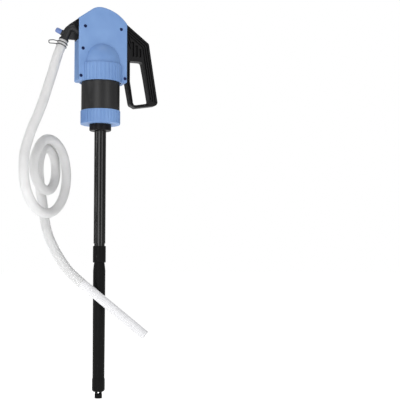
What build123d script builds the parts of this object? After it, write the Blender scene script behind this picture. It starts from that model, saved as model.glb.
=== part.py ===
from build123d import *
from math import acos, cos, degrees, pi, radians, sin, sqrt, tan
import os

# Lever-action drum pump. Millimetres. The pump axis is Z, the origin is the middle of the seat on top
# of the bung thread, the front is -Y and the lever is on the +X side. The suction tube hangs down.

# Fits
assembly_gap = 0.05        # radial gap between pieces that are screwed or pressed together
running_gap = 0.05         # radial gap of a journal, a guide or a sliding seal
free_gap = 0.4             # gap round pieces that move without a guide
shell_gap = 0.3            # gap between the shells and what they close round

# Bung adapter
thread_d = 59.6            # 2 inch parallel pipe thread, male
thread_length = 18.0
thread_chamfer = 2.0
adapter_flange_h = 6.0
foot_passage_d = 24.0      # flow passage above the suction tube's socket
gasket_h = 2.0

# Pump barrel and its two union nuts
bore_d = 90.0
barrel_d = 105.0
barrel_thread_inset = 2.5  # from the barrel's outside to its thread
barrel_thread_d = barrel_d - 2 * barrel_thread_inset
barrel_height = 79.0       # what shows between the nuts
nut_overhang = 1.75        # how far the nuts stand out past the barrel
nut_d = barrel_d + 2 * nut_overhang
nut_wall = 4.0             # the inward wall that clamps a flange
lower_nut_h = 37.0
upper_nut_h = 42.0
nut_rib_count = 36
nut_rib_h = 0.9
nut_rib_w = 5.4
nut_lip_h = 3.0

barrel_bottom = nut_wall + adapter_flange_h + gasket_h
upper_nut_bottom = lower_nut_h + barrel_height
deck = upper_nut_bottom + upper_nut_h          # top of the upper union nut
head_flange_h = 6.0
barrel_top = deck - nut_wall - head_flange_h - gasket_h

# Cylinder head
neck_d = 90.0
neck_h = 14.0
head_roof = 6.0
head_cavity_d = 72.0
groove_d = 82.0            # groove that the shells grip
groove_rise = 4.0          # its middle, above the shell floor
groove_h = 4.6
tower_d = 32.0
tower_h = 22.0
riser_x = -28.0
riser_d = 26.0
riser_bore_d = 17.0
riser_h = 26.0
head_top = deck + neck_h - 2

# Rod, piston and valve
rod_d = 12.0
stem_d = 8.0
guide_d = 18.0
guide_h = 20.0
rod_seal_h = 4.0
rod_seal_d = 21.0
piston_h = 16.0
piston_top = barrel_top - 12.0
piston_seal_h = 8.0
piston_seal_depth = 6.0
port_count = 6
port_d = 12.0
port_circle_r = 22.0
valve_d = 64.0
valve_h = 2.5
valve_lift = 3.8
spacer_d = 16.0
valve_stop_d = 44.0
valve_stop_h = 2.5
rod_nut_af = 16.0
rod_nut_h = 8.0

# Lever drive: a toothed sector on the lever and a rack on the rod
module = 3.0
sector_teeth = 26
backlash = 0.4
pressure_angle = radians(20)
rack_line_x = 12.0         # pitch line of the rack
rack_half_thickness = 7.0
rack_left_x = -7.0
rack_foot = 24.0           # below the pivot's height
rack_head = 48.0           # above the pivot's height
lever_swing = 60.0         # degrees

pitch_r = module * sector_teeth / 2
pivot_x = rack_line_x + pitch_r
pivot_z = deck + 106.0
stroke = pitch_r * radians(lever_swing)

# Shells
housing_side_room = 14.25  # from the nut to the housing's side, for the lower screws
housing_half_width = nut_d / 2 + housing_side_room
housing_half_depth = 25.0
shell_wall = 3.0
face_round = 3.0
shell_bottom = deck - 43.0
left_shoulder = deck + 128.6
apex_z = deck + 163.5
apex_left_x = -20.7
apex_right_x = -5.0
apex_round = 42.0
arch_x = 40.0
arch_z = deck + 148.5
right_shoulder = deck + 122.5
corner_round = 5.0
dome_r = 52.8
dome_centre = deck + 15.0
nut_room = 1.8             # radial room between the upper nut and the shells
pocket_wall = 2.4
skirt_rise = 5.0           # how far the ribbed skirt stands above the nut that it covers
slot_start_x = 20.0        # the lever's slot runs from here round the right-hand side
spout_gate_z = deck + 70.0

# Shell screws
screw_head_d = 8.6
screw_head_h = 3.4
screw_d = 4.8
screw_recess_d = 9.4
screw_recess_h = 5.0
boss_r = 5.6
screw_tip_cover = 4.0
low_screw_inset = 6.2      # from the housing's side to the two lower screws
low_screw_x = housing_half_width - low_screw_inset
screws = [(-51.0, deck + 106.0), (pivot_x, pivot_z), (-57.0, deck + 44.5),
          (-low_screw_x, deck - 30.5), (low_screw_x, deck - 30.5)]

# Lever
lever_half_thickness = 12.0
handle_inset = 17.5        # the handle is drawn from this far inside the housing's side
handle_x = housing_half_width - handle_inset
lever_edge_round = 1.0
slot_half = lever_half_thickness + 1.0
sleeve_half = lever_half_thickness + free_gap
sleeve_d = 14.0
bush_d = 18.0
hub_d = 34.0
sector_half_thickness = 7.0
edge_band = 6.0            # plain band along the lever's outer edge, outside the first groove
groove_step = 6.4          # from one groove to the next
groove_w = 3.4
groove_depth = 3.6
groove_count = 3
leg_groove_in = 3.4        # from the leg's outer edge to its one groove
lever_pocket_w = 8.0
lever_pocket_x = 37.5      # the first pocket's middle, right of handle_x
lever_pocket_step = 10.5
lever_pocket_depth = 5.5
lever_pocket_floor = -71.0 # from the pivot's height
lever_pocket_top = -28.0   # of the first pocket, from the pivot's height
lever_pocket_drop = 9.0    # each pocket's top is this much lower than the last
lever_pocket_corner = 3.5

# Spout
spout_d = 20.0
spout_leg_d = 22.0
spout_bore_d = 15.0
spigot_d = 16.0
spout_rise = 35.0          # degrees above level of the leg that leaves the housing
spout_drop = 22.0          # degrees from vertical of the outlet leg
elbow_x = -87.5
elbow_z = deck + 110.5
elbow_round = 15.0
knee_round = 18.0
collar_at = 48.0           # along the outlet leg from the elbow's corner
collar_d = 27.0
collar_h = 4.0
barb_length = 30.0
barb_d = 20.0
web_half = 2.5

# Vent
vent_at = 30.0             # along the outlet leg
vent_rise = 24.0           # degrees above level
vent_boss_d = 15.0
vent_boss_r = 15.0         # how far the boss reaches from the leg's axis
vent_stem_d = 8.0
vent_knob_d = 14.0
vent_knob_h = 16.0
vent_knob_round = 4.5

# Hose, clamp and nozzle
hose_d = 26.0
wire_d = 2.4
clamp_first = 8.0          # from the collar to the first ring
clamp_pitch = 8.0
clamp_tab = 24.0
clamp_bend = 3.0
nozzle_d = 25.0
nozzle_bore_d = 21.0
nozzle_length = 220.0
nozzle_wall_start = 4.0    # solid stretch where the nozzle meets the hose
nozzle_rim = 5.0           # plain stretch at each end, past the flutes
nozzle_flute_count = 16
nozzle_flute_r = 1.6
nozzle_flute_depth = 0.7
coil_heading = 45.0        # of the turns' plane, from +X towards +Y
coil_drift = 76.8          # each turn hangs behind the last, this way from +X towards +Y
coil_front = -40.0
coil_waist = 22.0
coil_back = 118.0
coil_lift = 28.0           # the back turns hang higher than the front ones
coil_big_r = 125.0
coil_small_r = 80.0
coil_hole_r = 46.0

# Suction tube and foot valve
tube_d = 32.0
tube_bore_d = 25.0
tube_neck_d = 28.5
upper_tube_end = -325.8
coupler_top = -332.6
coupler_bottom = -377.3
coupler_d = 34.9
coupler_mid_wall = 4.0
lower_neck_end = -380.8
lower_shoulder = -400.0
lower_tube_top_d = 33.4
lower_tube_bottom_d = 32.4
foot_top = -688.8
foot_d = 34.6
foot_h = 34.6
foot_round = 6.0
ball_d = 20.0
ball_lift = 4.0
seat_d = 16.0
seat_h = 6.0
foot_spigot = 11.0
foot_spigot_bore_d = 22.5
cage_ring_d = 24.0
cage_ring_h = 2.0
cage_window_h = 5.6
cage_leg = 3.0
knob_d = 20.0
knob_h = 12.0

os.makedirs("parts", exist_ok=True)


def write(name, shape):
    """Writes one piece, or one group of loose pieces, as its own file."""
    export_step(shape, f"parts/{name}.step")


def rod(d, z0, z1, x=0, y=0):
    """An upright cylinder between two heights."""
    return Pos(x, y, (z0 + z1) / 2) * Cylinder(d / 2, z1 - z0)


def ring(d_out, d_in, z0, z1, x=0, y=0):
    """An upright tube between two heights."""
    return rod(d_out, z0, z1, x, y) - rod(d_in, z0 - 1, z1 + 1, x, y)


def cross_rod(d, x, z, y0, y1):
    """A cylinder that lies front to back."""
    return Pos(x, (y0 + y1) / 2, z) * Rot(90, 0, 0) * Cylinder(d / 2, y1 - y0)


def block(x0, x1, y0, y1, z0, z1):
    return Pos((x0 + x1) / 2, (y0 + y1) / 2, (z0 + z1) / 2) * Box(x1 - x0, y1 - y0, z1 - z0)


def slab(sketch, y0, y1):
    """A sketch drawn in x and z, made solid between two depths."""
    return Pos(0, y1, 0) * extrude(Plane.XZ * sketch, y1 - y0)


def cone(d0, d1, z0, z1):
    """A round taper whose diameter is d0 at z0 and d1 at z1, with z0 the lower."""
    return Pos(0, 0, (z0 + z1) / 2) * Cone(d0 / 2, d1 / 2, z1 - z0)


def swept(points, radii, d):
    """A round bar along straight runs that are joined by arcs."""
    path = FilletPolyline(*points, radius=radii) if len(points) > 2 else Line(*points)
    return sweep(Plane(path @ 0, z_dir=path % 0) * Circle(d / 2), path=path)


# ---------------------------------------------------------------- bung adapter and suction side

def bung_adapter():
    body = rod(thread_d, -thread_length, 0)
    body = chamfer(body.edges().sort_by(Axis.Z)[0], thread_chamfer)
    body += rod(thread_d - 2 * free_gap, 0, nut_wall)
    body += rod(barrel_thread_d - 2, nut_wall, nut_wall + adapter_flange_h)
    body -= rod(tube_d + 2 * assembly_gap, -thread_length - 1, 0)
    return body - rod(foot_passage_d, -1, nut_wall + adapter_flange_h + 1)


def upper_suction_tube():
    body = rod(tube_d, upper_tube_end, 0)
    body += rod(tube_neck_d, coupler_mid + coupler_mid_wall / 2, upper_tube_end)
    return body - rod(tube_bore_d, coupler_bottom, 1)


def tube_coupler():
    body = rod(coupler_d, coupler_bottom, coupler_top)
    body = chamfer(body.edges().filter_by(GeomType.CIRCLE), 0.8)
    for z0, z1 in ((coupler_mid + coupler_mid_wall / 2, coupler_top + 1),
                   (coupler_bottom - 1, coupler_mid - coupler_mid_wall / 2)):
        body -= rod(tube_neck_d + 2 * assembly_gap, z0, z1)
    return body - rod(tube_bore_d, coupler_bottom - 1, coupler_top + 1)


def lower_suction_tube():
    body = rod(tube_neck_d, lower_neck_end, coupler_mid - coupler_mid_wall / 2)
    body += cone(lower_tube_top_d, tube_neck_d + 1, lower_shoulder, lower_neck_end)
    body += cone(lower_tube_bottom_d, lower_tube_top_d, foot_top, lower_shoulder)
    body += rod(tube_neck_d, foot_top - foot_spigot, foot_top)
    body -= rod(tube_bore_d, foot_top + 2, 1)
    body -= rod(foot_spigot_bore_d, foot_top - foot_spigot - 1, foot_top + 3)
    stop_z = ball_z + ball_d / 2 + ball_lift + free_gap
    return body + block(-tube_bore_d / 2, tube_bore_d / 2, -1.2, 1.2, stop_z, stop_z + 3)


def foot_valve_body():
    bottom = foot_top - foot_h
    body = rod(foot_d, bottom, foot_top)
    body = fillet(body.edges().sort_by(Axis.Z)[0], foot_round)
    body -= rod(tube_neck_d + 2 * assembly_gap, foot_top - foot_spigot, foot_top + 1)
    body -= rod(cage_ring_d, bottom + seat_top_rise, foot_top)
    body -= rod(seat_d, bottom - 1, foot_top)
    return body - rod(cage_ring_d + 2 * assembly_gap, bottom - 1, bottom + cage_ring_h)


def foot_strainer():
    top = foot_top - foot_h + cage_ring_h
    window_top = top - cage_ring_h
    window_bottom = window_top - cage_window_h
    body = ring(cage_ring_d, seat_d, window_top, top)
    for turn in range(4):
        leg = block(seat_d / 2 - 1, seat_d / 2 - 1 + cage_leg, -cage_leg / 2, cage_leg / 2,
                    window_bottom - 0.5, window_top + 0.5)
        body += Rot(0, 0, 45 + 90 * turn) * leg
    knob = rod(knob_d, window_bottom - knob_h, window_bottom)
    return body + chamfer(knob.edges().filter_by(GeomType.CIRCLE), 1.0)


coupler_mid = (coupler_top + coupler_bottom) / 2
seat_top_rise = cage_ring_h + seat_h
ball_z = foot_top - foot_h + seat_top_rise + sqrt((ball_d / 2) ** 2 - (seat_d / 2) ** 2)

write("bung_adapter", bung_adapter())
write("adapter_gasket", ring(barrel_thread_d - 2, bore_d, barrel_bottom - gasket_h, barrel_bottom))
write("upper_suction_tube", upper_suction_tube())
write("tube_coupler", tube_coupler())
write("lower_suction_tube", lower_suction_tube())
write("foot_valve_body", foot_valve_body())
write("foot_valve_ball", Pos(0, 0, ball_z) * Sphere(ball_d / 2))
write("foot_strainer", foot_strainer())


# ---------------------------------------------------------------- barrel, nuts and head

def ribbed_round(core_r, z0, z1):
    """An upright cylinder with grip ribs all round it."""
    rib = Rectangle(2 * nut_rib_h, nut_rib_w)
    outline = Circle(core_r) + PolarLocations(core_r, nut_rib_count) * rib
    return Pos(0, 0, z0) * extrude(outline, z1 - z0)


def union_nut(z0, z1, wall_z, hole_d):
    """A ribbed union nut, open at one end, with an inward wall of nut_wall from wall_z up."""
    body = ribbed_round(nut_d / 2 - nut_rib_h, z0 + nut_lip_h, z1 - nut_lip_h)
    body += chamfer(rod(nut_d, z0, z0 + nut_lip_h).edges().sort_by(Axis.Z)[0], 0.8)
    body += chamfer(rod(nut_d, z1 - nut_lip_h, z1).edges().sort_by(Axis.Z)[-1], 0.8)
    thread = rod(barrel_thread_d + 2 * shell_gap, z0 - 1, z1 + 1)
    thread -= rod(nut_d, wall_z, wall_z + nut_wall)
    return body - thread - rod(hole_d, z0 - 1, z1 + 1)


def barrel():
    body = rod(barrel_thread_d, barrel_bottom, barrel_top)
    body += rod(barrel_d, lower_nut_h + shell_gap, upper_nut_bottom - shell_gap)
    return body - rod(bore_d, barrel_bottom - 1, barrel_top + 1)


def cylinder_head():
    flange_z = barrel_top + gasket_h
    body = rod(barrel_thread_d - 2, flange_z, flange_z + head_flange_h)
    body += rod(neck_d, flange_z, head_top)
    body += rod(tower_d, head_top, head_top + tower_h)
    body += rod(riser_d, head_top - head_roof, head_top + riser_h, riser_x)
    groove_z = shell_floor + groove_rise
    body -= ring(neck_d + 2, groove_d, groove_z - groove_h / 2, groove_z + groove_h / 2)
    body -= rod(head_cavity_d, flange_z - 1, head_top - head_roof)
    body -= rod(rod_d + 2, flange_z, head_top + tower_h + 1)
    body -= rod(guide_d + 2 * assembly_gap, guide_z, head_top + tower_h + 1)
    body -= rod(rod_seal_d, guide_z + guide_h, head_top + tower_h + 1)
    return body - rod(riser_bore_d, flange_z, head_top + riser_h + 1, riser_x)


shell_floor = deck + shell_gap
guide_z = head_top + tower_h - rod_seal_h - guide_h

write("lower_union_nut", union_nut(0, lower_nut_h, 0, thread_d + 2 * free_gap))
write("upper_union_nut", union_nut(upper_nut_bottom, deck, deck - nut_wall, neck_d + 2 * free_gap))
write("pump_barrel", barrel())
write("head_gasket", ring(barrel_thread_d - 2, bore_d, barrel_top, barrel_top + gasket_h))
write("cylinder_head", cylinder_head())
write("rod_guide", ring(guide_d, rod_d + 2 * running_gap, guide_z, guide_z + guide_h))
write("rod_seal", ring(rod_seal_d - 2 * assembly_gap, rod_d + 2 * running_gap,
                       guide_z + guide_h, guide_z + guide_h + rod_seal_h))


# ---------------------------------------------------------------- piston and rod

def piston():
    body = rod(bore_d - 2 * free_gap, piston_bottom, piston_top)
    groove_z = (piston_bottom + piston_top) / 2
    groove = ring(bore_d, bore_d - 2 * free_gap - 2 * piston_seal_depth,
                  groove_z - piston_seal_h / 2, groove_z + piston_seal_h / 2)
    body -= groove + rod(stem_hole_d, 0, deck)
    for place in PolarLocations(port_circle_r, port_count):
        body -= Pos(0, 0, groove_z) * place * Cylinder(port_d / 2, 2 * piston_h)
    return body


def rod_nut():
    blank = extrude(RegularPolygon(rod_nut_af / sqrt(3), 6), rod_nut_h)
    return Pos(0, 0, piston_bottom - rod_nut_h) * blank - rod(stem_hole_d, 0, deck)


def piston_rod():
    body = rod(rod_d, valve_stop_z + valve_stop_h, rack_bottom + rod_in_rack)
    return body + rod(stem_d, piston_bottom - rod_nut_h - 2, valve_stop_z + valve_stop_h)


def rack():
    """The rack's spaces lie level with the pivot and every pitch from there."""
    pitch = pi * module
    root = rack_line_x - 1.25 * module
    body = block(rack_left_x, root, -rack_half_thickness, rack_half_thickness,
                 rack_bottom, pivot_z + rack_head)
    half = (pitch - backlash) / 4
    lean = tan(pressure_angle)
    tooth = Polygon((root - 0.1, -half - 1.25 * module * lean), (rack_line_x + module, -half + module * lean),
                    (rack_line_x + module, half - module * lean), (root - 0.1, half + 1.25 * module * lean),
                    align=None)
    for step in range(-1, 5):
        z = pivot_z + (step + 0.5) * pitch
        body += slab(Pos(0, z) * tooth, -rack_half_thickness, rack_half_thickness)
    return body - rod(rod_d + 2 * assembly_gap, rack_bottom - 1, rack_bottom + rod_in_rack)


piston_bottom = piston_top - piston_h
stem_hole_d = stem_d + 2 * assembly_gap
valve_stop_z = piston_top + valve_h + valve_lift + free_gap / 2
rack_bottom = pivot_z - rack_foot
rod_in_rack = 16.0

write("piston", piston())
write("piston_seal", ring(bore_d - 2 * running_gap, bore_d - 2 * free_gap - 2 * piston_seal_depth + 0.1,
                          piston_bottom + (piston_h - piston_seal_h) / 2 + 0.1,
                          piston_top - (piston_h - piston_seal_h) / 2 - 0.1))
write("piston_valve", ring(valve_d, spacer_d + 2 * free_gap, piston_top, piston_top + valve_h))
write("valve_spacer", ring(spacer_d, stem_hole_d, piston_top, valve_stop_z))
write("valve_stop", ring(valve_stop_d, stem_hole_d, valve_stop_z, valve_stop_z + valve_stop_h))
write("rod_nut", rod_nut())
write("piston_rod", piston_rod())
write("drive_rack", rack())


# ---------------------------------------------------------------- lever

def sector_tooth():
    """One involute tooth, drawn pointing along +x about the sector's centre."""
    base_r = pitch_r * cos(pressure_angle)
    root_r = pitch_r - 1.25 * module
    tip_r = pitch_r + module
    spread = pi / (2 * sector_teeth) - backlash / (4 * pitch_r) + tan(pressure_angle) - pressure_angle
    flank = []
    for step in range(6):
        r = base_r + (tip_r - base_r) * step / 5
        roll = acos(base_r / r)
        flank.append((r, spread - (tan(roll) - roll)))
    flank = [(root_r - 1, flank[0][1])] + flank
    upper = [(r * cos(a), r * sin(a)) for r, a in flank]
    lower = [(x, -y) for x, y in reversed(upper)]
    return make_face(Polyline(*upper, *lower, close=True))


def sector():
    """The tooth that is level with the pivot at rest lies in the rack's space; the rest lie above it."""
    pitch_angle = 360 / sector_teeth
    teeth = Sketch()
    for step in range(-6, 2):
        teeth += Rot(0, 0, 180 + step * pitch_angle) * sector_tooth()
    first = radians(180 - 6.5 * pitch_angle)
    last = radians(180 + 1.5 * pitch_angle)
    root_r = pitch_r - 1.25 * module
    rim = Circle(root_r) & make_face(Polyline((0, 0), (90 * cos(first), 90 * sin(first)),
                                              (-150, 40), (90 * cos(last), 90 * sin(last)), close=True))
    return slab(Pos(pivot_x, pivot_z) * (teeth + rim), -sector_half_thickness, sector_half_thickness)


def handle_outline():
    """The lever's outline to the right of the housing, in x and z."""
    x, z = handle_x, pivot_z
    points = [(x + 19.5, z - 59), (x + 19.5, z - 145), (x + 31, z - 206), (x + 47, z - 214),
              (x + 113, z - 202.5), (x + 93, z - 78), (x + 85.5, z - 30), (x + 16.6, z + 21.8),
              (pivot_x - 8, z + 15)]
    face = make_face(Polyline(*points, close=True))
    for number, radius in ((2, 8.0), (3, 8.0), (4, 11.0), (6, 9.0)):
        spot = Vector(*points[number])
        face = fillet(face.vertices().sort_by_distance(spot)[0], radius)
    return face


def finger_opening():
    x, z = handle_x, pivot_z
    points = [(x + 29.6, z - 83), (x + 29.6, z - 140), (x + 40.3, z - 207), (x + 87, z - 198),
              (x + 74.5, z - 128), (x + 65.5, z - 83)]
    face = make_face(Polyline(*points, close=True))
    for number, radius in ((0, 4.0), (2, 8.0), (3, 7.0), (5, 7.0)):
        spot = Vector(*points[number])
        face = fillet(face.vertices().sort_by_distance(spot)[0], radius)
    return face


def edge_groove(outline, inset):
    """A band that follows the lever's outline, groove_w wide, inset from its edge."""
    return offset(outline, amount=-inset) - offset(outline, amount=-inset - groove_w)


def on_both_faces(sketch, depth):
    """A cut into the lever's front face and the same one into its rear face."""
    face = lever_half_thickness
    return slab(sketch, -face - 1, depth - face) + slab(sketch, face - depth, face + 1)


def lever_relief(outline):
    """Grooves along the top edge and the grip, one down the leg, and three pockets in the panel."""
    x, z = handle_x, pivot_z
    grip = make_face(Polyline((x + 20, z + 40), (x + 130, z + 40), (x + 130, z - 196), (x + 88, z - 196),
                              (x + 67, z - 80), (x + 20, z - 40), close=True))
    leg = make_face(Polyline((x + 10, z - 86), (x + 35, z - 86), (x + 35, z - 140), (x + 44, z - 204),
                             (x + 84, z - 197), (x + 84, z - 225), (x + 10, z - 225), close=True))
    relief = on_both_faces(edge_groove(outline, leg_groove_in) & leg, groove_depth)
    for step in range(groove_count):
        relief += on_both_faces(edge_groove(outline, edge_band + step * groove_step) & grip, groove_depth)
    for step in range(3):
        top = lever_pocket_top - step * lever_pocket_drop
        high = top - lever_pocket_floor
        pocket = Pos(x + lever_pocket_x + step * lever_pocket_step, z + lever_pocket_floor + high / 2)
        pocket *= RectangleRounded(lever_pocket_w, high, lever_pocket_corner)
        relief += on_both_faces(pocket, lever_pocket_depth)
    return relief


def lever():
    outline = handle_outline()
    body = slab(outline, -lever_half_thickness, lever_half_thickness)
    body = fillet(body.edges().group_by(Axis.Y)[0] + body.edges().group_by(Axis.Y)[-1], lever_edge_round)
    body -= slab(finger_opening(), -housing_half_depth, housing_half_depth)
    body -= lever_relief(outline)
    body += cross_rod(hub_d, pivot_x, pivot_z, -lever_half_thickness, lever_half_thickness)
    body += sector()
    return body - cross_rod(bush_d + 2 * assembly_gap, pivot_x, pivot_z,
                            -housing_half_depth, housing_half_depth)


def pivot_bush(y0, y1):
    return (cross_rod(bush_d, pivot_x, pivot_z, y0, y1)
            - cross_rod(sleeve_d + 2 * running_gap, pivot_x, pivot_z, y0 - 1, y1 + 1))


write("lever", lever())
write("front_pivot_bush", pivot_bush(-lever_half_thickness, 0))
write("rear_pivot_bush", pivot_bush(0, lever_half_thickness))
write("pivot_sleeve", cross_rod(sleeve_d, pivot_x, pivot_z, -sleeve_half, sleeve_half)
      - cross_rod(screw_d + 4 * assembly_gap, pivot_x, pivot_z, -housing_half_depth, housing_half_depth))


# ---------------------------------------------------------------- shells and their screws

def housing_outline():
    """The housing seen from the front: a straight slope on the spout's side, an arch on the lever's."""
    w = housing_half_width
    left = Polyline((w, right_shoulder), (w, shell_bottom), (-w, shell_bottom), (-w, left_shoulder),
                    (apex_left_x, apex_z), (apex_right_x, apex_z))
    arch = ThreePointArc((apex_right_x, apex_z), (arch_x, arch_z), (w, right_shoulder))
    face = make_face(left + arch)
    for spot, radius in (((apex_left_x, apex_z), apex_round), ((-w, shell_bottom), corner_round),
                         ((w, shell_bottom), corner_round)):
        face = fillet(face.vertices().sort_by_distance(Vector(*spot))[0], radius)
    return face


def front_shell():
    outline = housing_outline()
    inside = offset(outline, amount=-shell_wall)
    half_room = block(-200, 200, -200, 0, -100, 500)
    plate = slab(outline, -housing_half_depth, 0)
    plate = fillet(plate.faces().sort_by(Axis.Y)[0].edges(), face_round)
    crown = block(-200, 200, -200, 0, dome_centre, 500)
    dome = (Pos(0, 0, dome_centre) * Sphere(dome_r)) & crown
    dome += rod(2 * dome_r, shell_floor, dome_centre) & half_room
    pocket_d = nut_d + 2 * nut_room
    skirt_r = pocket_d / 2 + pocket_wall
    skirt = ribbed_round(skirt_r, shell_bottom, deck + skirt_rise) & half_room
    body = plate + dome + skirt - rod(pocket_d, shell_bottom - 1, shell_floor)
    room = slab(inside, -housing_half_depth + shell_wall, 1)
    above = shell_floor + shell_wall
    hollow = room & block(-200, 200, -200, 1, above, 500)
    hollow += (Pos(0, 0, dome_centre) * Sphere(dome_r - shell_wall)) & crown
    hollow += rod(2 * (dome_r - shell_wall), above, dome_centre + 1)
    hollow += (room & block(-200, 200, -200, 1, 0, shell_floor)) - rod(2 * skirt_r, 0, deck)
    body -= hollow
    body -= rod(neck_d + 2 * shell_gap, shell_floor - 1, above + 1)
    groove_z = shell_floor + groove_rise
    key = ring(2 * (dome_r - shell_wall) + 1, groove_d + 2 * shell_gap,
               groove_z - groove_h / 2 + shell_gap, groove_z + groove_h / 2 - shell_gap)
    body += key & half_room
    body -= block(slot_start_x, 100, -slot_half, 1, pivot_z, apex_z + 1)
    body -= block(housing_half_width - shell_wall - 1, 100, -slot_half, 1, slot_bottom, apex_z)
    gate_half = housing_half_depth - shell_wall
    return body - block(-100, shell_wall - housing_half_width, -gate_half, 1, spout_gate_z, left_shoulder - 1)


def with_screw_bosses(body, through):
    """Adds the screw bosses to the front shell (through) or to the rear shell, built at the front too."""
    depth = housing_half_depth
    for x, z in screws:
        end = -sleeve_half - assembly_gap if (x, z) == (pivot_x, pivot_z) else 0
        body += cross_rod(2 * boss_r, x, z, -depth + shell_wall - 0.5, end)
    for x, z in screws:
        if through:
            body -= cross_rod(screw_d + 4 * assembly_gap, x, z, -depth - 1, 1)
            body -= cross_rod(screw_recess_d, x, z, -depth - 1, -depth + screw_recess_h)
        else:
            body -= cross_rod(screw_d + 2 * assembly_gap, x, z, -depth + screw_tip_cover, 1)
    return body


def shell_screw(x, z):
    seat = -housing_half_depth + screw_recess_h
    head = cross_rod(screw_head_d, x, z, seat - screw_head_h, seat)
    slot = block(x - 2.6, x + 2.6, seat - screw_head_h - 1, seat - screw_head_h + 1.6, z - 0.5, z + 0.5)
    slot += Pos(x, 0, z) * Rot(0, 90, 0) * Pos(-x, 0, -z) * slot
    return head + cross_rod(screw_d, x, z, seat, housing_half_depth - screw_tip_cover - 1) - slot


slot_bottom = pivot_z - 64
plain_shell = front_shell()
write("front_shell", with_screw_bosses(plain_shell, True))
write("rear_shell", mirror(with_screw_bosses(plain_shell, False), Plane.XZ))
write("shell_screws", Compound(children=[shell_screw(x, z) for x, z in screws]))


# ---------------------------------------------------------------- spout, vent and clamp

def bar(start, direction, d, a, b):
    """A cylinder along a direction, between two distances from a point."""
    return Plane(start + direction * a, z_dir=direction) * Pos(0, 0, (b - a) / 2) * Cylinder(d / 2, b - a)


def spout():
    shoulder = head_top + riser_h + shell_gap
    inlet = Vector(riser_x, 0, shoulder)
    path = [inlet, knee, elbow, elbow + leg * collar_at]
    body = swept(path, [knee_round, elbow_round], spout_d)
    body += bar(elbow, leg, spout_leg_d, 1.3 * elbow_round, collar_at)
    body += bar(elbow, leg, collar_d, collar_at - collar_h, collar_at)
    body += bar(elbow, leg, barb_d, collar_at, barb_end)
    body += rod(spigot_d, shoulder - spigot_length, shoulder + 1, riser_x)
    edge = -housing_half_width - free_gap
    plate_top = left_shoulder - shell_wall - 1
    web = Polyline((edge + 4, spout_gate_z + shell_gap), (edge + 4, plate_top), (edge, plate_top),
                   (edge, left_shoulder - 0.6), (elbow_x - 4.5, elbow_z + 0.1), (elbow_x - 13, elbow_z - 14),
                   (elbow_x - 10, spout_gate_z + shell_gap), close=True)
    body += slab(make_face(web), -web_half, web_half)
    rim = Polyline((edge, left_shoulder - 0.6), (elbow_x - 4.5, elbow_z + 0.1),
                   (elbow_x - 3, elbow_z - 3), (edge, left_shoulder - 4), close=True)
    body += slab(make_face(rim), -3 * web_half, 3 * web_half)
    gate = housing_half_depth - shell_wall - shell_gap
    body += block(-housing_half_width + shell_gap, -housing_half_width + shell_gap + shell_wall + 1.2, -gate, gate,
                  spout_gate_z + shell_gap, plate_top)
    body += bar(vent_centre, vent, vent_boss_d, 0, vent_boss_r)
    body -= swept(path, [knee_round, elbow_round], spout_bore_d)
    body -= bar(elbow, leg, spout_bore_d, collar_at - 1, barb_end + 1)
    body -= rod(spigot_d - 4, shoulder - spigot_length - 1, shoulder + 1, riser_x)
    body -= ring(spigot_d + 2, seal_groove_d, seal_z - 1.7, seal_z + 1.7, riser_x)
    return body - bar(vent_centre, vent, vent_stem_d + 2 * running_gap, 0, vent_boss_r + 1)


def vent_knob():
    body = bar(vent_centre, vent, vent_stem_d, 3, vent_boss_r + 1)
    head = bar(vent_centre, vent, vent_knob_d, vent_boss_r + shell_gap, vent_boss_r + vent_knob_h)
    tip = vent_centre + vent * (vent_boss_r + vent_knob_h)
    return body + fillet(head.edges().sort_by_distance(tip)[0], vent_knob_round)


def hose_clamp():
    """A spring clamp of one wire: two rings joined by a flat loop that stands out to the left."""
    ring_r = (hose_d + wire_d) / 2 + assembly_gap
    side = Vector(leg.Z, 0, -leg.X)
    body = Part()
    ends = []
    for k in range(2):
        centre = elbow + leg * (collar_at + clamp_first + k * clamp_pitch)
        body += Plane(centre, z_dir=leg) * Torus(ring_r, wire_d / 2)
        ends.append(centre + side * ring_r)
    tip = ends[0] + Vector(-clamp_tab, 0, 0)
    loop = [ends[0], ends[0] + Vector(-clamp_tab / 2, 0, 2), tip, tip + Vector(0, 0, -clamp_pitch), ends[1]]
    return body + swept(loop, [2 * clamp_bend, clamp_bend, clamp_bend], wire_d)


def spout_seal():
    return ring(riser_bore_d - 0.1, seal_groove_d + 0.1, seal_z - 1.5, seal_z + 1.5, riser_x)


rise = radians(spout_rise)
drop = radians(spout_drop)
elbow = Vector(elbow_x, 0, elbow_z)
knee = Vector(riser_x, 0, elbow_z - (riser_x - elbow_x) * tan(rise))
leg = Vector(-sin(drop), 0, -cos(drop))
barb_end = collar_at + barb_length
vent = Vector(-cos(radians(vent_rise)), 0, sin(radians(vent_rise)))
vent_centre = elbow + leg * vent_at
spigot_length = 18.0
seal_groove_d = spigot_d - 2.4
seal_z = head_top + riser_h - 9.0

write("spout", spout())
write("spout_seal", spout_seal())
write("vent_knob", vent_knob())
write("hose_clamp", hose_clamp())


# ---------------------------------------------------------------- hose

def bend_radii(points):
    """0.45 of the shorter run at each corner, divided by the tangent of half the turn."""
    radii = []
    for a, b, c in zip(points, points[1:], points[2:]):
        half_turn = radians((b - a).get_angle(c - b)) / 2
        radii.append(0.45 * min((b - a).length, (c - b).length) / tan(half_turn))
    return radii


def hose_run(name, points):
    radii = bend_radii(points)
    print(name, "radii", [round(r) for r in radii])
    return swept(points, radii, hose_d)


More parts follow.
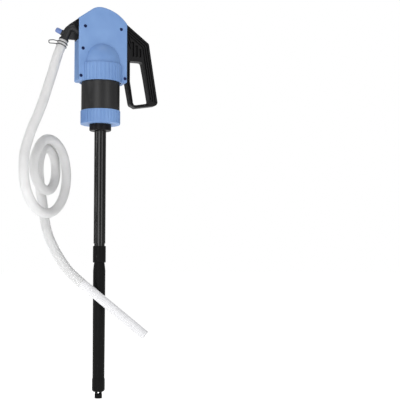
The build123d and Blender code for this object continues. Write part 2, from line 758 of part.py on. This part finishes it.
def coil_solid():
    """The room that the loose turns fill: an oblique drum with a hole, wide in front, narrow behind."""
    turn = radians(coil_heading)
    across = Vector(-sin(turn), cos(turn), 0)
    drift = Vector(cos(radians(coil_drift)), sin(radians(coil_drift)), 0)

    def section(along, lift, r):
        return Plane(coil_centre + drift * along + Vector(0, 0, lift), z_dir=across) * Circle(r)

    outer = loft([section(coil_front, 0, coil_big_r), section(coil_waist, 0, coil_big_r),
                  section(coil_back, coil_lift, coil_small_r)], ruled=True)
    return outer - loft([section(coil_front - 5, coil_lift, coil_hole_r),
                         section(coil_back + 5, coil_lift, coil_hole_r)], ruled=True)


barb_root = elbow + leg * collar_at
coil_centre = barb_root + Vector(-43.5, 2, -364.5)
hose_down = [barb_root, barb_root + leg * 40]
hose_down += [barb_root + Vector(*p) for p in (
    (-27, -8, -76), (-51, -26, -146), (-74.5, -46, -207), (-98, -61, -256), (-117, -72, -312))]
hose_out = [barb_root + Vector(*p) for p in (
    (-39, 88, -402), (-31.5, 85, -439), (-29.5, 73, -483.5), (-23, 58, -526.5),
    (-9, 42, -565), (8, 22.5, -600.5), (28.5, 4.5, -632.5), (55, -9, -656.5))]
nozzle_way = (hose_out[-1] - hose_out[-2]).normalized()

upper_hose = hose_run("hose_upper", hose_down)
upper_hose -= bar(barb_root, leg, barb_d + 2 * assembly_gap, -1, barb_length + assembly_gap)
nozzle = bar(hose_out[-1], nozzle_way, nozzle_d, 0, nozzle_length)
nozzle -= bar(hose_out[-1], nozzle_way, nozzle_bore_d, nozzle_wall_start, nozzle_length + 1)
nozzle_side = nozzle_way.cross(Vector(0, 1, 0)).normalized()
nozzle_up = nozzle_way.cross(nozzle_side)
flute_reach = nozzle_d / 2 + nozzle_flute_r - nozzle_flute_depth
for number in range(nozzle_flute_count):
    turn = 2 * pi * number / nozzle_flute_count
    flute_foot = hose_out[-1] + (nozzle_side * cos(turn) + nozzle_up * sin(turn)) * flute_reach
    nozzle -= bar(flute_foot, nozzle_way, 2 * nozzle_flute_r, nozzle_rim, nozzle_length - nozzle_rim)

write("hose_upper", upper_hose)
write("hose_coil", coil_solid())
write("hose_tail", hose_run("hose_tail", hose_out))
write("hose_nozzle", nozzle)
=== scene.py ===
import math

import bpy
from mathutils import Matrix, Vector


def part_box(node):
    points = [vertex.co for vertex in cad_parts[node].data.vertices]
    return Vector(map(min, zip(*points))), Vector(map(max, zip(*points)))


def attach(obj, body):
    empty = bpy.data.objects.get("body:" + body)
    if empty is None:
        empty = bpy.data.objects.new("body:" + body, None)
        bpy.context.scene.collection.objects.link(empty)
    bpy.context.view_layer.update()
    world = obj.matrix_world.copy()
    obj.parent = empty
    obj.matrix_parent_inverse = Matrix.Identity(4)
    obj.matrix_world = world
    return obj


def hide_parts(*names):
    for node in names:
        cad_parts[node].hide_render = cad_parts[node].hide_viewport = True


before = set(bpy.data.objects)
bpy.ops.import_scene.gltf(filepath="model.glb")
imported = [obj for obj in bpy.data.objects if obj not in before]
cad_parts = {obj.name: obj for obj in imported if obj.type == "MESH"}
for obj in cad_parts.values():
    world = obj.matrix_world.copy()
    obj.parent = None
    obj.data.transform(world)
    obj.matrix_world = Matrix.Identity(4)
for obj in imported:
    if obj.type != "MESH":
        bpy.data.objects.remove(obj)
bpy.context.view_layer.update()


# ---- Camera -----------------------------------------------------------------------------------
# A long lens a little to the spout's side of the front, level with the middle of the suction tube
# and tipped up slightly, which keeps the tall pump's sides nearly parallel.

camera_data = bpy.data.cameras.new("camera")
camera_data.lens = 85.5
camera = bpy.data.objects.new("camera", camera_data)
camera.location = (-0.7363, -2.4919, -0.3893)
camera.rotation_euler = (math.radians(94.03), 0.0, math.radians(-22.5))
bpy.context.scene.collection.objects.link(camera)
bpy.context.scene.camera = camera


# ---- Discharge hose ---------------------------------------------------------------------------
# One length of soft clear PVC hose, 26 mm outside with a 3 mm wall, pushed over the spout's barb.
# It hangs in two loose turns beside the pump, and its free end leads across the suction tube.

MM = 0.001
HOSE_D = 26 * MM
HOSE_WALL = 3 * MM

BARB_FROM_ELBOW = 48 * MM
BARB_LENGTH = 40 * MM

elbow = Vector((-87.5, 0, 268.5)) * MM
outlet_drop = math.radians(22)
outlet_way = Vector((-math.sin(outlet_drop), 0, -math.cos(outlet_drop)))
barb_root = elbow + outlet_way * BARB_FROM_ELBOW


def from_barb(points):
    """Points given in millimetres from the root of the spout's barb, in the row frame."""
    return [barb_root + Vector(p) * MM for p in points]


def smooth_step(t):
    """0 below 0, 1 above 1, and an even ease between."""
    t = min(1.0, max(0.0, t))
    return t * t * (3 - 2 * t)


# The coil, in degrees and in millimetres from the row frame's origin.
COIL_FIRST, COIL_LAST, COIL_STEPS = 150.0, 920.0, 39   # where it starts and ends, and its points
COIL_WIDE, COIL_NARROW = 109.0, 61.0                   # radius of the first turn and of the others
COIL_MIDDLE = Vector((-149, 2, -139))                  # middle of the first turn
COIL_RISE = Vector((4, 0, 18))                         # from there to the middle of the others
COIL_BEHIND = Vector((0.229, 0.974, 0)) * 51           # each turn's step away from the camera
COIL_START = 0.3                                       # turns by which it starts nearer than that
COIL_HEADING, COIL_TWIST = 45, 9                       # the first turn's heading, and what is added
SHRINK_FROM, SHRINK_OVER = 400, 110                    # where the turns get smaller
BULGE, BULGE_AT, BULGE_OVER = 13, 540, 70              # how far, where and over what it bulges


def coil_points():
    """The loose turns: a wide one in front, then smaller ones that hang behind it, higher and more
    edge-on. The first of those bulges to the left."""
    points = []
    for step in range(1, COIL_STEPS + 1):
        angle = COIL_FIRST + (COIL_LAST - COIL_FIRST) * step / COIL_STEPS
        shrink = smooth_step((angle - SHRINK_FROM) / SHRINK_OVER)
        heading = math.radians(COIL_HEADING + COIL_TWIST * shrink)
        across = Vector((math.cos(heading), math.sin(heading), 0))
        middle = COIL_MIDDLE + COIL_RISE * shrink
        middle += COIL_BEHIND * ((angle - COIL_FIRST) / 360 - COIL_START)
        middle.x -= BULGE * math.exp(-((angle - BULGE_AT) / BULGE_OVER) ** 2)
        turn = math.radians(angle)
        reach = across * math.cos(turn) + Vector((0, 0, math.sin(turn)))
        points.append((middle + reach * (COIL_WIDE + (COIL_NARROW - COIL_WIDE) * shrink)) * MM)
    return points


def linked(name, data):
    """A new object at the origin that holds the mesh or curve."""
    made = bpy.data.objects.new(name, data)
    bpy.context.scene.collection.objects.link(made)
    return made


def srgb(hex_colour):
    """The linear colour of an sRGB hex value such as #7690c9."""
    def linear(c):
        return c / 12.92 if c <= 0.04045 else ((c + 0.055) / 1.055) ** 2.4
    parts = [int(hex_colour[i:i + 2], 16) / 255 for i in (1, 3, 5)]
    return (*[linear(c) for c in parts], 1.0)


def add(material, kind, settings=None, values=None, links=None):
    """Adds a node. Settings are its own properties, values its sockets' values, and links the
    sources of its inputs."""
    node = material.node_tree.nodes.new(kind)
    for key, value in (settings or {}).items():
        setattr(node, key, value)
    for key, value in (values or {}).items():
        node.inputs[key].default_value = value
    for key, source in (links or {}).items():
        material.node_tree.links.new(source, node.inputs[key])
    return node


def new_material(name):
    """An empty material and its output node."""
    material = bpy.data.materials.new(name)
    material.use_nodes = True
    material.node_tree.nodes.clear()
    return material, material.node_tree.nodes.new("ShaderNodeOutputMaterial")


def finish_material(material, out, shader):
    """Joins the shader to the output."""
    material.node_tree.links.new(shader.outputs[0], out.inputs["Surface"])
    return material


def clear_pvc():
    """Plasticised PVC, extruded: hazy rather than water clear, with a satin skin."""
    material, out = new_material("soft_clear_pvc_hose")
    place = add(material, "ShaderNodeTexCoord")
    haze = add(material, "ShaderNodeTexNoise",
               values={"Scale": 28.0, "Detail": 3.0, "Roughness": 0.6},
               links={"Vector": place.outputs["Object"]})
    tint = add(material, "ShaderNodeValToRGB", links={"Fac": haze.outputs["Fac"]})
    tint.color_ramp.elements[0].position = 0.3
    tint.color_ramp.elements[0].color = srgb("#ebebeb")
    tint.color_ramp.elements[1].position = 0.7
    tint.color_ramp.elements[1].color = srgb("#f2f2f2")
    fine = add(material, "ShaderNodeTexNoise", values={"Scale": 260.0, "Detail": 2.0},
               links={"Vector": place.outputs["Object"]})
    bump = add(material, "ShaderNodeBump", values={"Strength": 0.05, "Distance": 0.0001},
               links={"Height": fine.outputs["Fac"]})
    shader = add(material, "ShaderNodeBsdfPrincipled",
                 values={"Roughness": 0.45, "IOR": 1.3, "Transmission Weight": 0.36},
                 links={"Base Color": tint.outputs["Color"], "Normal": bump.outputs["Normal"]})
    return finish_material(material, out, shader)


hose_down = [barb_root, barb_root + outlet_way * BARB_LENGTH] + from_barb((
    (-27, -8, -76), (-51, -26, -146), (-74.5, -46, -207), (-98, -61, -256), (-117, -72, -312)))
hose_out = from_barb((
    (-39, 88, -402), (-31.5, 85, -439), (-29.5, 73, -483.5), (-23, 58, -526.5),
    (-9, 42, -565), (8, 22.5, -600.5), (28.5, 4.5, -632.5), (55, -9, -656.5)))


def nurbs(name, points):
    """One open smooth line with the points as its control points."""
    curve = bpy.data.curves.new(name, "CURVE")
    curve.dimensions = "3D"
    curve.resolution_u = 12
    line = curve.splines.new("NURBS")
    line.points.add(len(points) - 1)
    for spot, point in zip(line.points, points):
        spot.co = (*point, 1.0)
    line.order_u = 3
    line.use_endpoint_u = True
    return curve


hose_line = nurbs("hose_line", hose_down + coil_points() + hose_out)
route_finder = linked("route_finder", hose_line)
route_mesh = bpy.data.meshes.new_from_object(route_finder)
bpy.data.objects.remove(route_finder)
bpy.data.meshes.remove(route_mesh)

hose_line.bevel_depth = HOSE_D / 2
hose_line.bevel_resolution = 7
bare_hose = linked("bare_hose", hose_line)
hose_mesh = bpy.data.meshes.new_from_object(bare_hose)
bpy.data.objects.remove(bare_hose)
hose = linked("discharge_hose", hose_mesh)
for face in hose_mesh.polygons:
    face.use_smooth = True
wall = hose.modifiers.new("wall", "SOLIDIFY")
wall.thickness = HOSE_WALL
wall.offset = -1.0
hose_mesh.materials.clear()
hose_mesh.materials.append(clear_pvc())
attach(hose, "pump_body")
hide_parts("hose_upper", "hose_coil", "hose_tail")


# ---- Nozzle -----------------------------------------------------------------------------------
# A stiff fluted tube pushed into the hose's free end, extruded in natural polyethylene.

def natural_pe():
    """Natural polyethylene: milky, waxy and half clear, so light spreads inside the wall."""
    material, out = new_material("natural_polyethylene")
    place = add(material, "ShaderNodeTexCoord")
    cloud = add(material, "ShaderNodeTexNoise", values={"Scale": 60.0, "Detail": 2.0},
                links={"Vector": place.outputs["Object"]})
    tint = add(material, "ShaderNodeValToRGB", links={"Fac": cloud.outputs["Fac"]})
    tint.color_ramp.elements[0].color = srgb("#e4e4e6")
    tint.color_ramp.elements[1].color = srgb("#eeeef0")
    shader = add(material, "ShaderNodeBsdfPrincipled",
                 values={"Roughness": 0.4, "IOR": 1.4, "Transmission Weight": 0.08},
                 links={"Base Color": tint.outputs["Color"]})
    return finish_material(material, out, shader)


nozzle_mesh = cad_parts["hose_nozzle"].data
nozzle_mesh.materials.clear()
nozzle_mesh.materials.append(natural_pe())


# ---- Blue mouldings ---------------------------------------------------------------------------
# The two half shells, both ribbed union nuts and the vent plug are injection moulded in
# polypropylene, coloured blue through and through, with a fine even mould grain.

SHEEN_DRIFT = 0.06


def moulded(name, dark, light, roughness, grain_mm, grain_depth_mm, shine=0.5):
    """Moulded plastic: a slight drift of colour from flow, and a grain that softens its shine."""
    material, out = new_material(name)
    place = add(material, "ShaderNodeTexCoord")
    flow = add(material, "ShaderNodeTexNoise", values={"Scale": 14.0, "Detail": 2.0},
               links={"Vector": place.outputs["Object"]})
    tint = add(material, "ShaderNodeValToRGB", links={"Fac": flow.outputs["Fac"]})
    tint.color_ramp.elements[0].position = 0.35
    tint.color_ramp.elements[0].color = srgb(dark)
    tint.color_ramp.elements[1].position = 0.65
    tint.color_ramp.elements[1].color = srgb(light)
    grain = add(material, "ShaderNodeTexNoise", values={"Scale": 1000.0 / grain_mm, "Detail": 2.0},
                links={"Vector": place.outputs["Object"]})
    bump = add(material, "ShaderNodeBump",
               values={"Strength": 0.5, "Distance": grain_depth_mm * MM},
               links={"Height": grain.outputs["Fac"]})
    sheen = add(material, "ShaderNodeMapRange",
                values={"To Min": roughness - SHEEN_DRIFT, "To Max": roughness + SHEEN_DRIFT},
                links={"Value": flow.outputs["Fac"]})
    shader = add(material, "ShaderNodeBsdfPrincipled",
                 values={"IOR": 1.49, "Specular IOR Level": shine},
                 links={"Base Color": tint.outputs["Color"], "Roughness": sheen.outputs["Result"],
                        "Normal": bump.outputs["Normal"]})
    return finish_material(material, out, shader)


def finish_nodes(material, *names):
    """Gives CAD pieces their material."""
    for name in names:
        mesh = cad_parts[name].data
        mesh.materials.clear()
        mesh.materials.append(material)


# Satin blue with a low shine, which keeps the flat front from glaring.
blue = moulded("moulded_blue_polypropylene", "#6d8ec0", "#7899c9",
               roughness=0.46, grain_mm=0.9, grain_depth_mm=0.03, shine=0.28)
finish_nodes(blue, "front_shell", "rear_shell", "upper_union_nut", "lower_union_nut")
# A greyer blue, so the small plug reads apart from the housing.
slate_blue = moulded("moulded_slate_blue_cap", "#5f74a8", "#687eb2",
                     roughness=0.4, grain_mm=0.9, grain_depth_mm=0.03)
finish_nodes(slate_blue, "vent_knob")


# ---- Black parts ------------------------------------------------------------------------------
# Four blacks: the lever and bung adapter, the pump's body, whose lighter black holds painted light,
# the extruded upper tube, and the duller lower tube with its coupler and foot valve.

# Near black with little shine.
lever_black = moulded("moulded_black_lever_nylon", "#080709", "#0c0b0d",
                      roughness=0.42, grain_mm=1.0, grain_depth_mm=0.04, shine=0.18)
finish_nodes(lever_black, "lever", "bung_adapter")
# A greyer satin black, lighter than the lever's. This is painted light for the key light that the
# curved barrel catches.
painted_lit_black = moulded("moulded_black_polypropylene_painted_light", "#1b1b1c", "#222223",
                roughness=0.42, grain_mm=1.0, grain_depth_mm=0.04, shine=0.4)
finish_nodes(painted_lit_black, "pump_barrel", "cylinder_head", "spout")
# Smooth enough to carry two long streaks of light.
tube_black = moulded("extruded_black_tube", "#090909", "#0d0d0d",
                     roughness=0.2, grain_mm=1.6, grain_depth_mm=0.008)
finish_nodes(tube_black, "upper_suction_tube")
# Matt, with hardly a highlight.
dull_black = moulded("dull_black_tube", "#070707", "#0a0a0a",
                     roughness=0.5, grain_mm=1.2, grain_depth_mm=0.03, shine=0.12)
finish_nodes(dull_black, "lower_suction_tube", "tube_coupler", "foot_valve_body", "foot_strainer")


# ---- Working parts and fixings ----------------------------------------------------------------
# Natural acetal for what slides, nitrile for what seals, and steel for rod, clamp and screws.

# Warm off-white and faintly waxy.
acetal = moulded("natural_acetal", "#e2dfd4", "#e9e6dc",
                 roughness=0.35, grain_mm=0.8, grain_depth_mm=0.01)
finish_nodes(acetal, "rod_guide", "foot_valve_ball", "piston", "valve_spacer", "drive_rack",
             "front_pivot_bush", "rear_pivot_bush")
# Dead matt black.
rubber = moulded("nitrile_rubber", "#191919", "#1f1f1f",
                 roughness=0.7, grain_mm=0.5, grain_depth_mm=0.04)
finish_nodes(rubber, "head_gasket", "adapter_gasket", "rod_seal", "piston_seal", "piston_valve",
             "spout_seal")


def plated_steel(name, colour):
    """Turned or drawn steel under a thin finish: faint tool lines break up its reflections."""
    material, out = new_material(name)
    place = add(material, "ShaderNodeTexCoord")
    lines = add(material, "ShaderNodeTexNoise", values={"Scale": 900.0, "Detail": 2.0},
                links={"Vector": place.outputs["Object"]})
    bump = add(material, "ShaderNodeBump", values={"Strength": 0.25, "Distance": 0.01 * MM},
               links={"Height": lines.outputs["Fac"]})
    shader = add(material, "ShaderNodeBsdfPrincipled",
                 values={"Base Color": srgb(colour), "Metallic": 1.0, "Roughness": 0.32},
                 links={"Normal": bump.outputs["Normal"]})
    return finish_material(material, out, shader)


# Bright, cool plating on the rod and its fixings.
zinc = plated_steel("zinc_plated_steel", "#b9bcc0")
finish_nodes(zinc, "piston_rod", "rod_nut", "valve_stop", "pivot_sleeve")
# Dark wire that draws the clamp's rings against the pale hose.
finish_nodes(plated_steel("dull_spring_wire", "#303134"), "hose_clamp")
# Screw heads in a dark navy. This is painted shade for the shade that falls in their recesses in
# the blue shell.
finish_nodes(plated_steel("screw_steel_painted_recess_shade", "#20274a"), "shell_screws")


# ---- Floor and light --------------------------------------------------------------------------
# A pale studio floor just under the strainer, an even white surround and four soft lights.

SURROUND_LIGHT = 0.26
FLOOR_GLOW = 0.76
FLOOR_SIZE, FLOOR_BACK = 60, 20
FLOOR_GAP = 0.5 * MM
foot_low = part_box("foot_strainer")[0]
bpy.ops.mesh.primitive_plane_add(size=FLOOR_SIZE, location=(0, FLOOR_BACK, foot_low.z - FLOOR_GAP))
floor = bpy.context.object
floor.name = "floor"
paper, paper_out = new_material("white_paper_floor")
paper_shader = add(paper, "ShaderNodeBsdfPrincipled",
                   values={"Base Color": srgb("#ffffff"), "Roughness": 0.9,
                           "Specular IOR Level": 0.1, "Emission Color": srgb("#ffffff"),
                           "Emission Strength": FLOOR_GLOW})
floor.data.materials.append(finish_material(paper, paper_out, paper_shader))

# The surround is white to the camera and through the hose, and dim to everything else.
world = bpy.data.worlds.new("studio")
world.use_nodes = True
world.node_tree.nodes.clear()
world_out = add(world, "ShaderNodeOutputWorld")
ray = add(world, "ShaderNodeLightPath")
seen = add(world, "ShaderNodeMath", settings={"operation": "MAXIMUM"})
world.node_tree.links.new(ray.outputs["Is Camera Ray"], seen.inputs[0])
world.node_tree.links.new(ray.outputs["Is Transmission Ray"], seen.inputs[1])
WHITE = (1, 1, 1, 1)
dim = add(world, "ShaderNodeBackground", values={"Color": WHITE, "Strength": SURROUND_LIGHT})
bright = add(world, "ShaderNodeBackground", values={"Color": WHITE, "Strength": 1.0})
choice = add(world, "ShaderNodeMixShader", links={"Fac": seen.outputs[0]})
world.node_tree.links.new(dim.outputs[0], choice.inputs[1])
world.node_tree.links.new(bright.outputs[0], choice.inputs[2])
world.node_tree.links.new(choice.outputs[0], world_out.inputs["Surface"])
bpy.context.scene.world = world
bpy.context.scene.view_settings.view_transform = "Standard"


def soft_light(name, place, target, size, power):
    """A rectangular studio softbox that faces a point. Size is in metres and power in watts."""
    data = bpy.data.lights.new(name, "AREA")
    data.shape = "RECTANGLE"
    data.size, data.size_y = size
    data.energy = power
    light = linked(name, data)
    light.location = place
    light.rotation_euler = (Vector(target) - Vector(place)).to_track_quat("-Z", "Y").to_euler()


# Two tall softboxes either side of the camera draw the suction tube's two long streaks. One at the
# side and one overhead fill the rest.
soft_light("left_softbox", (-1.55, -2.09, 0.1), (0, 0, -0.15), size=(1.2, 2.4), power=24)
soft_light("right_softbox", (1.05, -2.38, 0.1), (0, 0, -0.15), size=(0.75, 2.4), power=15)
soft_light("side_softbox", (-2.6, 0.1, 0.7), (0, 0, 0), size=(0.6, 1.8), power=12)
soft_light("top_softbox", (0.2, -0.4, 2.4), (0, 0, 0), size=(1.4, 1.2), power=14)
